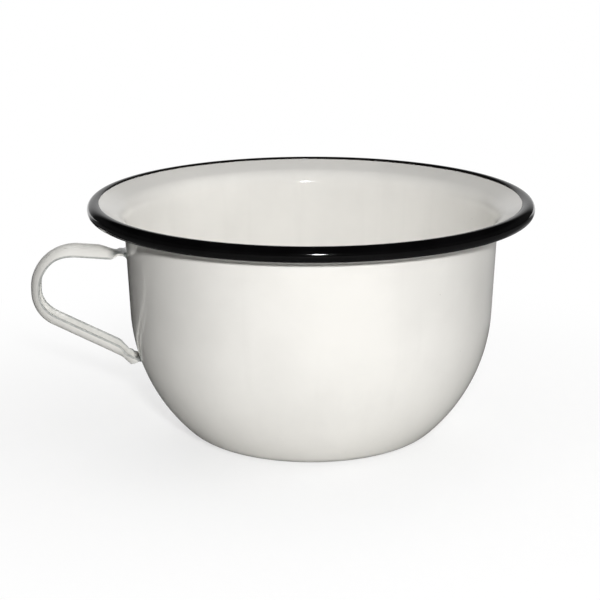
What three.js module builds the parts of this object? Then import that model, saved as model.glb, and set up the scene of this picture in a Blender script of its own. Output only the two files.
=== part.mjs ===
// Enamelled sheet-steel chamber pot: a drawn bowl with a rolled rim, a black edging on the rim,
// and one pressed strap handle held to the wall by four welds.
// Millimetres, +Z up. The origin lies on the pot's axis, at the flat underside of the base,
// and the handle points along -X.

import * as THREE from "three";

// Pot body: one drawn sheet, measured over its white enamel
const SHEET = 1.0;
const POT_HEIGHT = 130; // to the top of the black edging
const WALL_DIAMETER = 200.8; // outside, where the wall turns out into the brim
const WALL_TAPER = 2.4; // degrees that the wall leans out
const BASE_DIAMETER = 112; // flat part of the base
const HEEL_RADIUS = 20; // outside, between the base and the bowl
const BOWL_RADIUS = 93; // outside, between the heel and the wall
const LIP_RADIUS = 9; // outside, between the wall and the brim
const BRIM_WIDTH = 19.6; // outside of the wall to the outside of the black edging
const BRIM_RISE = 25; // degrees that the brim rises outwards
const BEAD_DIAMETER = 8.4; // rolled edge, over the black edging
const ROLL_OPENING = 75; // degrees of the roll that stay open

// Black edging: a second enamel coat over the rolled edge
const EDGING_THICKNESS = 0.4;
const EDGING_GAP = 0.1; // clear of the sheet below it
const EDGING_ON_BRIM = 1.4; // from the bead inwards, along the top of the brim
const EDGING_TURN = 247; // degrees that the edging goes round the roll

// Handle: one pressed strip bent to a loop, a trough along its length with its lips to the inside.
// Its upper end is pressed flat and butts on the wall. Its lower end turns down into a foot,
// whose lips end on the wall.
const STRIP = 1.2; // sheet, over its white enamel
const HANDLE_REACH = 51.1; // outside of the wall, at its top, to the outside of the grip
const TROUGH_WIDTH = 14;
const TROUGH_DEPTH = 5.8;
const UPPER_ARM_RISE = 4.6; // degrees that the upper arm rises outwards
const GRIP_DROP = 31.4; // between the grip's two corners, along the lips
const UPPER_BEND_RADIUS = 18.6; // of the lips
const LOWER_BEND_RADIUS = 14; // of the lips
const FLAT_DROP = 15.4; // top of the wall to the flat end
const FLAT_LEVEL = 2.5; // of the flat end over the line of the lips
const FLAT_WIDTH = 14;
const FLAT_CROWN = 0.2; // that the flat end keeps
const FLAT_LENGTH = 3;
const CREST_FORM_LENGTH = 13; // over which the outside rises from the flat end to the trough
const LIP_FORM_LENGTH = 5; // over which the lips come down
const FOOT_DROP = 59.5; // flat end to the foot's end
const FOOT_SLOPE = 46; // degrees
const FOOT_LENGTH = 8.8; // from the lower arm's line to the foot's end
const FOOT_BEND_RADIUS = 14; // of the lips
const FOOT_PINCH = 1.8; // that the lips are pressed in at the foot's bend
const FOOT_FORM_LENGTH = 6; // over which the lips come in from the lower arm
const FOOT_CUT = 16; // degrees that the foot's end slants back from the lips to the outside

// Welds: a fillet above and below the flat end, and a spot under each lip of the foot
const WELD_GAP = 0.5; // between the strip and the wall
const WELD_CLEARANCE = 0.05; // of a spot to the sheet on each side
const SPOT_DIAMETER = 2.4;
const SPOT_RISE = 1.3; // above the foot's end
const FILLET_CLEARANCE = 0.2; // of a fillet to the sheet on each side
const FILLET_LEG = 1.8;
const FILLET_SETBACK = 0.5; // of a fillet's ends from the edges of the flat end
const FILLET_HOLLOW = 0.25; // how near its hollow face is drawn to the corner, in legs

// Fineness of the facets
const TURN_STEPS = 56; // round the pot
const HEEL_STEPS = 5;
const BOWL_STEPS = 6;
const LIP_STEPS = 4;
const ROLL_STEP = 24; // degrees round the roll
const BEND_STEP = 13; // degrees between the handle's sections in a bend
const RUN_STEP = 2.2; // between the handle's sections in a straight run
const TROUGH_STEPS = 8; // across the trough
const SPOT_SIDES = 20;
const FILLET_STEPS = 5;
const BEND_LIMIT = 0.95; // most of a straight run that the bends at its ends may take

const { degToRad, lerp, smoothstep } = THREE.MathUtils;
const QUARTER = Math.PI / 2;

const towards = (angle) => new THREE.Vector2(Math.cos(angle), Math.sin(angle));
const moved = (point, direction, distance) => point.clone().addScaledVector(direction, distance);
const leftOf = (direction) => new THREE.Vector2(-direction.y, direction.x);
const heading = (from, to) => to.clone().sub(from).normalize();

// How far an arc of this radius stands off the middle of its chord
const crown = (radius, halfChord) => radius - Math.sqrt(radius ** 2 - halfChord ** 2);

// Points along an arc, with both of its ends
function arc(centre, radius, from, to, steps) {
  const points = [];
  for (let i = 0; i <= steps; i += 1) {
    points.push(moved(centre, towards(lerp(from, to, i / steps)), radius));
  }
  return points;
}

// The pot's half section lies in (distance from the axis, height).
// Its outside is a chain of tangent lines and arcs: base, heel, bowl, wall, lip, brim and roll.
const taper = degToRad(WALL_TAPER);
const wallOutward = towards(-taper);
const wallUpward = leftOf(wallOutward);
const brimOutward = towards(degToRad(BRIM_RISE));
const brimAngle = QUARTER + degToRad(BRIM_RISE); // square to the brim, on its upper side

const rollCentre = new THREE.Vector2(
  WALL_DIAMETER / 2 + BRIM_WIDTH - BEAD_DIAMETER / 2,
  POT_HEIGHT - BEAD_DIAMETER / 2,
);
const rollRadius = BEAD_DIAMETER / 2 - EDGING_THICKNESS - EDGING_GAP - SHEET; // its hollow

// The lip's arc touches the straight wall at its top, and the underside of the brim
const brimUnder = moved(rollCentre, towards(brimAngle), rollRadius);
const lipShare = LIP_RADIUS * (Math.sin(taper + degToRad(BRIM_RISE)) - 1);
const brimShare = (WALL_DIAMETER / 2 - brimUnder.x) * brimOutward.y;
const wallTop = new THREE.Vector2(
  WALL_DIAMETER / 2,
  brimUnder.y + (brimShare + lipShare) / brimOutward.x,
);
const lipCentre = moved(wallTop, wallOutward, LIP_RADIUS);

// The bowl's arc holds the heel's arc and touches it, and runs into the straight wall
const heelCentre = new THREE.Vector2(BASE_DIAMETER / 2, HEEL_RADIUS);
const besideWallTop = moved(wallTop, wallOutward, -BOWL_RADIUS);
const fromHeel = besideWallTop.clone().sub(heelCentre);
const centreDistance = BOWL_RADIUS - HEEL_RADIUS;
const alongWall = fromHeel.dot(wallUpward);
const bowlCentre = moved(
  besideWallTop,
  wallUpward,
  Math.sqrt(alongWall ** 2 - fromHeel.lengthSq() + centreDistance ** 2) - alongWall,
);
const heelAngle = Math.asin((heelCentre.y - bowlCentre.y) / centreDistance);
const heelTop = moved(heelCentre, towards(heelAngle), HEEL_RADIUS);
const bowlTop = moved(bowlCentre, wallOutward, BOWL_RADIUS);

// An arc round the roll, starting where the brim meets it
function rollArc(radius, turn) {
  const steps = Math.ceil(turn / ROLL_STEP);
  return arc(rollCentre, radius, brimAngle, brimAngle - degToRad(turn), steps);
}

// One face of the sheet, at a depth below the outside face, from the axis to the end of the roll
function sheetFace(depth) {
  return [
    new THREE.Vector2(0, depth),
    ...arc(heelCentre, HEEL_RADIUS - depth, -QUARTER, heelAngle, HEEL_STEPS),
    ...arc(bowlCentre, BOWL_RADIUS - depth, heelAngle, -taper, BOWL_STEPS).slice(1),
    ...arc(lipCentre, LIP_RADIUS + depth, Math.PI - taper, brimAngle, LIP_STEPS),
    ...rollArc(rollRadius + depth, 360 - ROLL_OPENING),
  ];
}

// One face of the edging, at a height over the sheet, from the brim to below the roll
function edgingFace(height) {
  const round = rollArc(rollRadius + SHEET + height, EDGING_TURN);
  return [moved(round[0], brimOutward, -EDGING_ON_BRIM), ...round];
}

const turned = (profile) => new THREE.LatheGeometry(profile, TURN_STEPS).rotateX(QUARTER);

function potBodyGeometry() {
  return turned([...sheetFace(0), ...sheetFace(SHEET).reverse()]);
}

function edgingGeometry() {
  const under = edgingFace(EDGING_GAP);
  const over = edgingFace(EDGING_GAP + EDGING_THICKNESS);
  return turned([...under, ...over.reverse(), under[0]]);
}

// The outside of the pot at a height: the point there and the direction square to it
function wallAt(height) {
  if (height > bowlTop.y) {
    const rise = (height - wallTop.y) / wallUpward.y;
    return { point: moved(wallTop, wallUpward, rise), outward: wallOutward };
  }
  const inBowl = height > heelTop.y;
  const centre = inBowl ? bowlCentre : heelCentre;
  const radius = inBowl ? BOWL_RADIUS : HEEL_RADIUS;
  const outward = towards(Math.asin((height - centre.y) / radius));
  return { point: moved(centre, outward, radius), outward };
}

// The strip's width and depth are taken along the middle of its thickness
const troughDepth = TROUGH_DEPTH - STRIP / 2;
function halfChordAt(depth) {
  return lerp(FLAT_WIDTH / 2, TROUGH_WIDTH / 2 - STRIP / 2, depth / troughDepth);
}

const flatWall = wallAt(wallTop.y - FLAT_DROP);
const footWall = wallAt(flatWall.point.y - FOOT_DROP);
const upperArm = towards(degToRad(UPPER_ARM_RISE));
const upperArmOver = leftOf(upperArm);

// Corners of the line along the lips, from the flat end to the foot's end
function handleCorners() {
  const flatEnd = moved(flatWall.point, upperArm, WELD_GAP);
  const upperEnd = moved(flatEnd, upperArmOver, -FLAT_LEVEL);
  const gripLine = WALL_DIAMETER / 2 + HANDLE_REACH - TROUGH_DEPTH;
  const gripTop = moved(upperEnd, upperArm, (gripLine - upperEnd.x) / upperArm.x);
  const gripBottom = new THREE.Vector2(gripLine, gripTop.y - GRIP_DROP);

  // The pot is round, so that the wall falls away from the foot's middle to its lips
  const { point, outward } = footWall;
  const fallAway = crown(point.x / outward.x, halfChordAt(troughDepth));
  const footEnd = moved(point, outward, WELD_GAP + STRIP / 2 - fallAway);
  const footTop = moved(footEnd, towards(degToRad(FOOT_SLOPE)), FOOT_LENGTH);
  return [upperEnd, gripTop, gripBottom, footTop, footEnd];
}

// Length that each bend takes from the straight runs beside it.
// Where two bends would meet in a short run, both are made tighter.
function bendRuns(corners, radii) {
  const wanted = radii.map((radius, i) => {
    const before = heading(corners[i], corners[i + 1]);
    const after = heading(corners[i + 1], corners[i + 2]);
    return radius * Math.tan(before.angleTo(after) / 2);
  });
  return wanted.map((run, i) => {
    const roomBefore = corners[i].distanceTo(corners[i + 1]) / (run + (wanted[i - 1] ?? 0));
    const roomAfter = corners[i + 1].distanceTo(corners[i + 2]) / (run + (wanted[i + 1] ?? 0));
    return run * Math.min(1, BEND_LIMIT * roomBefore, BEND_LIMIT * roomAfter);
  });
}

function straightPart(from, to) {
  const direction = heading(from, to);
  const length = from.distanceTo(to);
  const at = (along) => ({ point: moved(from, direction, along), direction });
  return { length, steps: Math.ceil(length / RUN_STEP), at };
}

function bendPart(corner, before, after, run) {
  const turn = before.angleTo(after) * Math.sign(before.cross(after));
  const radius = run / Math.tan(Math.abs(turn) / 2);
  const start = moved(corner, before, -run);
  const centre = moved(start, leftOf(before), radius * Math.sign(turn));
  const origin = new THREE.Vector2();
  const length = radius * Math.abs(turn);
  const at = (along) => {
    const angle = (along / length) * turn;
    const direction = before.clone().rotateAround(origin, angle);
    return { point: start.clone().rotateAround(centre, angle), direction };
  };
  return { length, steps: Math.ceil(Math.abs(turn) / degToRad(BEND_STEP)), at };
}

// Straight parts joined by bends, each with its start along the whole line
function bentLine(corners, radii) {
  const runs = bendRuns(corners, radii);
  const parts = [];
  let from = corners[0];
  runs.forEach((run, i) => {
    const corner = corners[i + 1];
    const before = heading(corners[i], corner);
    const after = heading(corner, corners[i + 2]);
    parts.push(straightPart(from, moved(corner, before, -run)), bendPart(corner, before, after, run));
    from = moved(corner, after, run);
  });
  parts.push(straightPart(from, corners.at(-1)));
  let start = 0;
  return parts.map((part) => {
    const placed = { ...part, start };
    start += part.length;
    return placed;
  });
}

// The strip's section is an arc of even thickness: nearly flat at the flat end, deep in the trough.
// Points are (across the strip, out from its lips), along the outside and back along the inside.
function stripSection(halfChord, depth) {
  const halfAngle = 2 * Math.atan(depth / halfChord);
  const radius = halfChord / Math.sin(halfAngle);
  const centre = new THREE.Vector2(0, depth - radius);
  const from = QUARTER - halfAngle;
  const to = QUARTER + halfAngle;
  return [
    ...arc(centre, radius + STRIP / 2, from, to, TROUGH_STEPS),
    ...arc(centre, radius - STRIP / 2, to, from, TROUGH_STEPS),
  ];
}

function handleGeometry() {
  const radii = [UPPER_BEND_RADIUS, LOWER_BEND_RADIUS, FOOT_BEND_RADIUS];
  const parts = bentLine(handleCorners(), radii);
  const total = parts.at(-1).start + parts.at(-1).length;
  const distances = parts.flatMap(({ start, length, steps }) =>
    Array.from({ length: steps }, (_, k) => start + (length * k) / steps),
  );

  const sections = [...distances, total].map((distance) => {
    const part = parts.findLast(({ start }) => start <= distance);
    const { point, direction } = part.at(distance - part.start);
    const fromFoot = total - distance;
    const crestFormed = smoothstep(distance, FLAT_LENGTH, FLAT_LENGTH + CREST_FORM_LENGTH);
    const lipsFormed = smoothstep(distance, FLAT_LENGTH, FLAT_LENGTH + LIP_FORM_LENGTH);
    const crest = lerp(FLAT_LEVEL + FLAT_CROWN, troughDepth, crestFormed);
    const pinched = smoothstep(FOOT_LENGTH + FOOT_FORM_LENGTH - fromFoot, 0, FOOT_FORM_LENGTH);
    const opened = smoothstep(FOOT_LENGTH - fromFoot, 0, FOOT_LENGTH);
    const lips = lerp(FLAT_LEVEL, 0, lipsFormed) + FOOT_PINCH * (pinched - opened);
    const slant = Math.tan(degToRad(FOOT_CUT)) * Math.max(0, 1 - fromFoot / FOOT_LENGTH);
    const depth = crest - lips;
    return stripSection(halfChordAt(depth), depth).map(({ x, y }) => {
      const over = moved(point, leftOf(direction), lips + y);
      const place = moved(over, direction, -slant * y);
      return [-place.x, x, place.y];
    });
  });
  return lofted(sections);
}

// Skin over sections that have as many points each, closed at both ends.
// A section goes along one face of the strip and back along the other.
function lofted(sections) {
  const around = sections[0].length;
  const index = [];
  for (let i = 0; i + 1 < sections.length; i += 1) {
    for (let k = 0; k < around; k += 1) {
      const a = i * around + k;
      const b = i * around + ((k + 1) % around);
      index.push(a, b + around, b, a, a + around, b + around);
    }
  }
  const last = (sections.length - 1) * around;
  for (let k = 0; k + 1 < around / 2; k += 1) {
    const back = around - 1 - k;
    index.push(k, k + 1, back, k + 1, back - 1, back);
    index.push(last + k, last + back, last + k + 1, last + k + 1, last + back, last + back - 1);
  }
  const geometry = new THREE.BufferGeometry();
  geometry.setAttribute("position", new THREE.Float32BufferAttribute(sections.flat(2), 3));
  geometry.setIndex(index);
  geometry.computeVertexNormals();
  return geometry;
}

const whiteEnamel = { color: 0xebe8e2, roughness: 0.12, metalness: 0 };
const blackEnamel = { color: 0x101012, roughness: 0.1, metalness: 0 };
const weldSteel = { color: 0x7c7d80, roughness: 0.55, metalness: 0.9 };

function named(name, geometry, finish) {
  const mesh = new THREE.Mesh(geometry, new THREE.MeshStandardMaterial(finish));
  mesh.name = name;
  return mesh;
}

// A fillet in the corner between the wall and the flat end, on its upper (1) or lower (-1) side
function filletWeld(name, side) {
  const { point, outward } = flatWall;
  const beside = side > 0 ? FLAT_CROWN : 0;
  const away = side * (STRIP / 2 + beside + FILLET_CLEARANCE);
  const onWall = moved(point, outward, FILLET_CLEARANCE);
  const upward = leftOf(outward);
  const rise = away - onWall.clone().sub(point).dot(upperArmOver);
  const corner = moved(onWall, upward, rise / upward.dot(upperArmOver));
  const outer = moved(corner, upperArm, FILLET_LEG);
  const far = moved(corner, upward, side * FILLET_LEG);
  const middle = outer.clone().add(far).divideScalar(2);
  const hollow = corner.clone().lerp(middle, FILLET_HOLLOW);

  const shape = new THREE.Shape();
  shape.moveTo(corner.x, corner.y);
  shape.lineTo(outer.x, outer.y);
  shape.quadraticCurveTo(hollow.x, hollow.y, far.x, far.y);
  const length = FLAT_WIDTH - 2 * FILLET_SETBACK;
  const geometry = new THREE.ExtrudeGeometry(shape, {
    depth: length,
    bevelEnabled: false,
    curveSegments: FILLET_STEPS,
  });
  geometry.translate(0, 0, -length / 2);
  const toPot = new THREE.Matrix4().makeBasis(
    new THREE.Vector3(-1, 0, 0),
    new THREE.Vector3(0, 0, 1),
    new THREE.Vector3(0, 1, 0),
  );
  return named(name, geometry.applyMatrix4(toPot), weldSteel);
}

// A spot between the wall and one lip of the foot, to one side of the handle's middle plane
function spotWeld(name, side) {
  const { point, outward } = wallAt(footWall.point.y + SPOT_RISE);
  const radius = SPOT_DIAMETER / 2;
  const thickness = WELD_GAP - 2 * WELD_CLEARANCE;
  const geometry = new THREE.CylinderGeometry(radius, radius, thickness, SPOT_SIDES);
  const mesh = named(name, geometry, weldSteel);
  const middle = moved(point, outward, WELD_GAP / 2);
  const swing = side * Math.asin(halfChordAt(troughDepth) / middle.x);
  const around = new THREE.Vector2(-Math.cos(swing), Math.sin(swing));
  const axis = new THREE.Vector3(outward.x * around.x, outward.x * around.y, outward.y);
  mesh.position.set(middle.x * around.x, middle.x * around.y, middle.y);
  mesh.quaternion.setFromUnitVectors(new THREE.Vector3(0, 1, 0), axis);
  return mesh;
}

const handleGroup = new THREE.Group();
handleGroup.add(named("handle", handleGeometry(), whiteEnamel));
handleGroup.add(filletWeld("upper_weld_top", 1));
handleGroup.add(filletWeld("upper_weld_under", -1));
handleGroup.add(spotWeld("lower_weld_front", -1));
handleGroup.add(spotWeld("lower_weld_back", 1));

const chamberPot = new THREE.Group();
chamberPot.add(named("pot_body", potBodyGeometry(), whiteEnamel));
chamberPot.add(named("rim_edging", edgingGeometry(), blackEnamel));
chamberPot.add(handleGroup);

export default chamberPot;
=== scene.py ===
"""Enamelled sheet-steel chamber pot with a black rolled rim and a pressed strap handle.

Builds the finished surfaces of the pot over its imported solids, in metres and +Z up, with the
handle along -X, and sets it on a white table under soft studio light.
"""

import cmath
import math
from typing import NamedTuple

import bmesh
import bpy
from bpy.props import FloatProperty, FloatVectorProperty, PointerProperty
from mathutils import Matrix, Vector, noise


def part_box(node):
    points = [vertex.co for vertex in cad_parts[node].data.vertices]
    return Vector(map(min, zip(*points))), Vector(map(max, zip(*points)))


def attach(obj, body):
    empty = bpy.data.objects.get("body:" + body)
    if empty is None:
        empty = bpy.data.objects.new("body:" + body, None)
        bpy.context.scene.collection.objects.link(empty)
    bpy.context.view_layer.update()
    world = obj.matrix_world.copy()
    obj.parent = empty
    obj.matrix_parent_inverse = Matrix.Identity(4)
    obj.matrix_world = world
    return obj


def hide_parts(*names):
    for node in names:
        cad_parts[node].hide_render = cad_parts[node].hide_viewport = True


bl_info = {
    "name": "Enamel Chamber Pot",
    "version": (1, 0, 0),
    "blender": (4, 5, 0),
    "location": "3D View > Sidebar > Chamber Pot",
    "description": "Builds an enamelled chamber pot over its packed solids, on a studio table",
    "category": "Add Mesh",
}

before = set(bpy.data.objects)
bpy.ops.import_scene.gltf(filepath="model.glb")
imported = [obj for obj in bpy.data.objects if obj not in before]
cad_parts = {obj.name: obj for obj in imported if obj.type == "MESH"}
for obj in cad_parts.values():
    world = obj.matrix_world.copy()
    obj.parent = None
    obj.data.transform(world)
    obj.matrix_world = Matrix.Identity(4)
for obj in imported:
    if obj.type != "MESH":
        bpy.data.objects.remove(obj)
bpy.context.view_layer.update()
BODY = "root"
MM = 0.001

# The pot's overall sizes come from the frame
RIM_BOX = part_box("rim_edging")
HANDLE_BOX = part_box("handle")
POT_HEIGHT = RIM_BOX[1].z
RIM_RADIUS = RIM_BOX[1].x
GRIP_RADIUS = -HANDLE_BOX[0].x

# Fineness of the meshes
TURN_STEPS = 240  # round the pot
BASE_STEPS = 10
HEEL_STEPS = 14
BOWL_STEPS = 34
WALL_STEPS = 16
LIP_STEPS = 14
BRIM_STEPS = 4
ROLL_STEPS = 34
COAT_STEPS = 8  # along the black coat's reach on the brim
EDGE_STEPS = 6  # round a cut edge
HANDLE_STEP = 0.7 * MM
STRIP_END_STEPS = [0.15 * MM, 0.3 * MM, 0.45 * MM]  # more rings at the strip's rounded ends
TROUGH_STEPS = 30  # across the strip
FILLET_STEPS = 9
POOL_SIDES = 28  # round the enamel at a lip of the foot
FLAG_STEPS = 24
SETTLE_STEPS = 6  # tries to find the wall from a point beside it
AXIS_WIDTH = 0.01 * MM  # points as near to the axis as this are joined

# Marks of the forming
STRAY_SCALE = 22
STRAY_HEIGHTS = (8 * MM, 40 * MM)  # heights over which the sheet begins to stray from true round
LEAST_STRIP = 0.08  # share of its thickness that the strip keeps at its ends
CREASES = ((0.82, 0.9 * MM, 1.0), (0.45, 0.7 * MM, 0.8))  # place as a share of the foot, width, weight
CREASE_SIDES = (1.5 * MM, 5 * MM)  # distances from the strip's middle over which creases set in
CREASE_NARROWING = 0.06
DENT_SCALE = 70
DENT_DEPTH = 0.1 * MM
DENT_SHIFT = Vector((5, 5, 5))  # keeps the dents along Y apart from those along X

# Black coat over the rolled edge
WAVES = ((3.1, 1.0), (9.7, 0.6))  # scale and weight of the waver in its edge
LEAST_COAT = 0.1  # share of its thickness that it keeps at its edge
COAT_LIFT = 0.02 * MM  # its underside over the white enamel

# Greying of the strip's enamel, from 0 to 1: thin enamel at the lips with painted shade along them, and
# painted shade over the flat end under the brim and inside the trough
LIP_THIN_AND_SHADE = 0.72
LIP_THIN_AND_SHADE_WIDTH = 0.4 * MM
# painted shade inside the trough
TROUGH_PAINTED_SHADE = 0.2
FLAT_PAINTED_SHADE_EDGE = (0.3 * MM, 1.0 * MM)  # distances from a lip over which the painted shade on the flat end sets in
FLAT_PAINTED_SHADE_END = (4 * MM, 10 * MM)  # distances from the strip's upper end over which that ends

# Enamel run together over the welds
SUNK = 0.3 * MM  # how far it reaches into the strip and the wall
FILLET_AT_LIPS = 0.6  # share of the fillet's radius
LUMP_SCALE = 300
LUMP_HEIGHT = 0.12  # share of the fillet's radius
POOL_FOOT = (0.1 * MM, -0.7 * MM)  # lower end of a pool along the foot, at the lip and at the wall
POOL_HALF = (0.42, 0.55)  # half of its width there, in thicknesses of the strip


class Pattern(NamedTuple):
    """Noise in a coat, in waves per metre. The part of its range in contrast is spread over levels."""

    scale: float
    detail: float
    contrast: tuple
    levels: tuple


# Enamels
MILKY_CLOUDS = Pattern(scale=17.0, detail=4.0, contrast=(0.35, 0.65), levels=(0.0, 1.0))
WHITE_RUNS = Pattern(scale=1.0, detail=3.0, contrast=(0.5, 0.8), levels=(0.0, 0.16))
WHITE_RAGGED = Pattern(scale=420.0, detail=2.0, contrast=(0.3, 0.6), levels=(0.65, 1.0))
WHITE_GLOSS = Pattern(scale=55.0, detail=3.0, contrast=(0.3, 0.7), levels=(0.07, 0.13))
BLACK_CLOUDS = Pattern(scale=60.0, detail=3.0, contrast=(0.35, 0.65), levels=(0.0, 1.0))
BLACK_RAGGED = Pattern(scale=300.0, detail=2.0, contrast=(0.35, 0.65), levels=(0.2, 0.8))
BLACK_GLOSS = Pattern(scale=70.0, detail=3.0, contrast=(0.3, 0.7), levels=(0.05, 0.11))
RUN_STRETCH = (120.0, 120.0, 5.0)  # runs are narrow and upright
RUN_SHADE = 0.86
BLACK_CLOUD_SHADE = 0.6
SPECK_SCALE = 150.0  # cells per metre, of which few hold a speck
SPECK_EDGE = (0.02, 0.05)  # soft edge of a speck, as a share of its cell
SPECK_CHOICE = (0.93, 0.97)  # shades of the cells between which specks come in
SPECK_STRENGTH = 0.55
ENAMEL_IOR = 1.5
SWELL_SCALE = 38.0
SWELL_HEIGHT = 0.6 * MM
PEEL_SCALE = 260.0
PEEL_DETAIL = 3.0
PEEL_HEIGHT = 0.08 * MM

# Stage
TABLE_HALF = 4.0
TABLE_LEVEL = -0.2 * MM
TABLE_GRAIN_SCALE = 300.0
TABLE_GRAIN = 0.05
TABLE_WHITE_FROM = (0.07, 0.34)  # distances from the pot's middle over which the table turns white
TABLE_NEAR_WHITE = 0.60
BOUNCE_FADE = (0.08, 0.34)  # distances over which its light on the pot fades
NEAR_BOUNCE = (0.80, 0.80, 0.79)
FAR_BOUNCE = (0.10, 0.10, 0.10)
MIRRORED_TABLE = (0.12, 0.12, 0.12)
MIRRORED_WHITE_FROM = (0.05, 0.35)  # distances behind the pot over which reflections see it turn white
FLAG_RADIUS = 0.24
FLAG_HEIGHTS = (1 * MM, 70 * MM)
FLAGS = (("flag_left", 98, 182, 1.0), ("flag_right", 200, 252, 9.0))  # name, degrees from and to, shade
GLINT_HALF_WIDTH = 36 * MM
GLINT_HALF_HEIGHT = 18 * MM
BACKDROP_EDGE = (0.82, 0.97)  # how far back a reflection points, over the backdrop's soft edge
BACKDROP_SHADES = (0.03, 0.6)  # beside it and on it
BACKDROP_TOP = (0.30, 0.50)  # how far up a reflection points, over its top
BACKDROP_OVER = 0.05  # share of the shade that is left over its top
SENSOR_WIDTH = 36.0
PHOTO_PIXELS = 600  # width and height of the photograph
TARGET_PIXEL = complex(311, 314.56)  # where the camera's target lies in it


def length(name, description, default):
    """A length that a user may change, in metres."""
    return FloatProperty(
        name=name, description=description, default=default, precision=5, subtype="DISTANCE", unit="LENGTH"
    )


def angle(name, description, degrees):
    """An angle that a user may change."""
    return FloatProperty(
        name=name, description=description, default=math.radians(degrees), subtype="ANGLE", unit="ROTATION"
    )


def colour(name, description, default):
    """A colour that a user may change, as linear red, green and blue."""
    return FloatVectorProperty(
        name=name, description=description, default=default, size=3, min=0, max=1, subtype="COLOR"
    )


class ChamberPotBodySizes(bpy.types.PropertyGroup):
    """Sizes of the drawn sheet, over its white enamel"""

    sheet: length("Sheet", "Thickness of the sheet with its enamel", 1.0 * MM)
    height: length("Height", "Table to the top of the black edging", POT_HEIGHT)
    brim_width: length("Brim width", "Wall to the outside of the black edging", 19.6 * MM)
    brim_rise: angle("Brim rise", "Slope of the brim", 25)
    wall_taper: angle("Wall taper", "Lean of the wall outwards", 2.4)
    base_diameter: length("Base diameter", "Flat part of the base", 112 * MM)
    heel_radius: length("Heel radius", "Outside radius between the base and the bowl", 20 * MM)
    bowl_radius: length("Bowl radius", "Outside radius between the heel and the wall", 93 * MM)
    lip_radius: length("Lip radius", "Outside radius between the wall and the brim", 9 * MM)
    bead_diameter: length("Bead diameter", "Rolled edge over the black edging", 8.4 * MM)
    roll_opening: angle("Roll opening", "Part of the roll that stays open", 75)
    unevenness: length("Unevenness", "How far the drawn sheet strays from true round", 0.12 * MM)


class ChamberPotEdgingSizes(bpy.types.PropertyGroup):
    """Sizes of the black coat over the rolled edge"""

    thickness: length("Thickness", "Thickness of the coat over the white enamel", 0.5 * MM)
    on_brim: length("On the brim", "Mean reach from the bead inwards, along the top of the brim", 0.85 * MM)
    tilt: length("Tilt", "How much further the coat reaches on its wide side", 0.5 * MM)
    wide_side: angle("Wide side", "Where the coat is widest, round the pot", -45)
    turn: angle("Turn", "How far the coat goes round the roll", 247)
    waver: length("Waver", "How far the coat's edge strays", 0.2 * MM)
    feather: length("Feather", "Width over which the coat thins out at its edge", 0.7 * MM)


class ChamberPotHandleSizes(bpy.types.PropertyGroup):
    """Sizes of the pressed strip and of its line along the lips"""

    strip: length("Strip", "Thickness of the strip with its enamel", 1.2 * MM)
    reach: length("Reach", "Pot axis to the outside of the grip", GRIP_RADIUS)
    trough_width: length("Trough width", "Width of the trough over its lips", 14 * MM)
    trough_depth: length("Trough depth", "Lips to the outside", 5.8 * MM)
    arm_rise: angle("Upper arm rise", "Slope of the upper arm", 4.6)
    grip_drop: length("Grip drop", "Between the grip's corners, along the lips", 31.4 * MM)
    upper_bend: length("Upper bend", "Radius of the lips in the upper bend", 18.6 * MM)
    lower_bend: length("Lower bend", "Radius of the lips in the lower bend", 14 * MM)
    grip_press: length("Grip press", "How far the lips are pressed in along the grip", 1.2 * MM)
    grip_form: length("Grip forming", "Length over which they go in and come out again", 15 * MM)
    flat_drop: length("Flat end drop", "Top of the wall to the flat end", 15.4 * MM)
    flat_level: length("Flat end level", "Flat end over the line of the lips", 2.5 * MM)
    flat_width: length("Flat end width", "Width of the flat end", 14 * MM)
    flat_crown: length("Flat end crown", "Crown that the flat end keeps", 0.2 * MM)
    flat_length: length("Flat end length", "Length of the flat end", 3 * MM)
    crest_form: length("Crest forming", "Length over which the outside rises to the trough", 13 * MM)
    lip_form: length("Lip forming", "Length over which the lips come down", 5 * MM)
    foot_drop: length("Foot drop", "Flat end to the foot's end", 59.5 * MM)
    foot_slope: angle("Foot slope", "Slope of the foot", 46)
    foot_length: length("Foot length", "Lower arm's line to the foot's end", 8.8 * MM)
    foot_bend: length("Foot bend", "Radius of the lips in the foot's bend", 14 * MM)
    foot_pinch: length("Foot pinch", "How far the lips are pressed in at the foot's bend", 1.8 * MM)
    foot_form: length("Foot forming", "Length over which the lips come in", 6 * MM)
    foot_cut: angle("Foot cut", "Slant of the foot's end", 16)
    crease_depth: length("Crease depth", "Depth of the creases across the foot's bend", 0.45 * MM)
    wall_gap: length("Wall gap", "Between the strip and the wall", 0.5 * MM)
    fillet: length("Fillet", "Radius of the enamel in the corner of the flat end", 2.3 * MM)
    pool_rise: length("Pool rise", "How far the enamel at the foot runs up the lip and the wall", 4.2 * MM)
    pool_waist: length("Pool waist", "How far it reaches up between the lip and the wall", 2.6 * MM)
    pool_flare: length("Pool flare", "How far it spreads out on the wall", 0.9 * MM)


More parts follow.
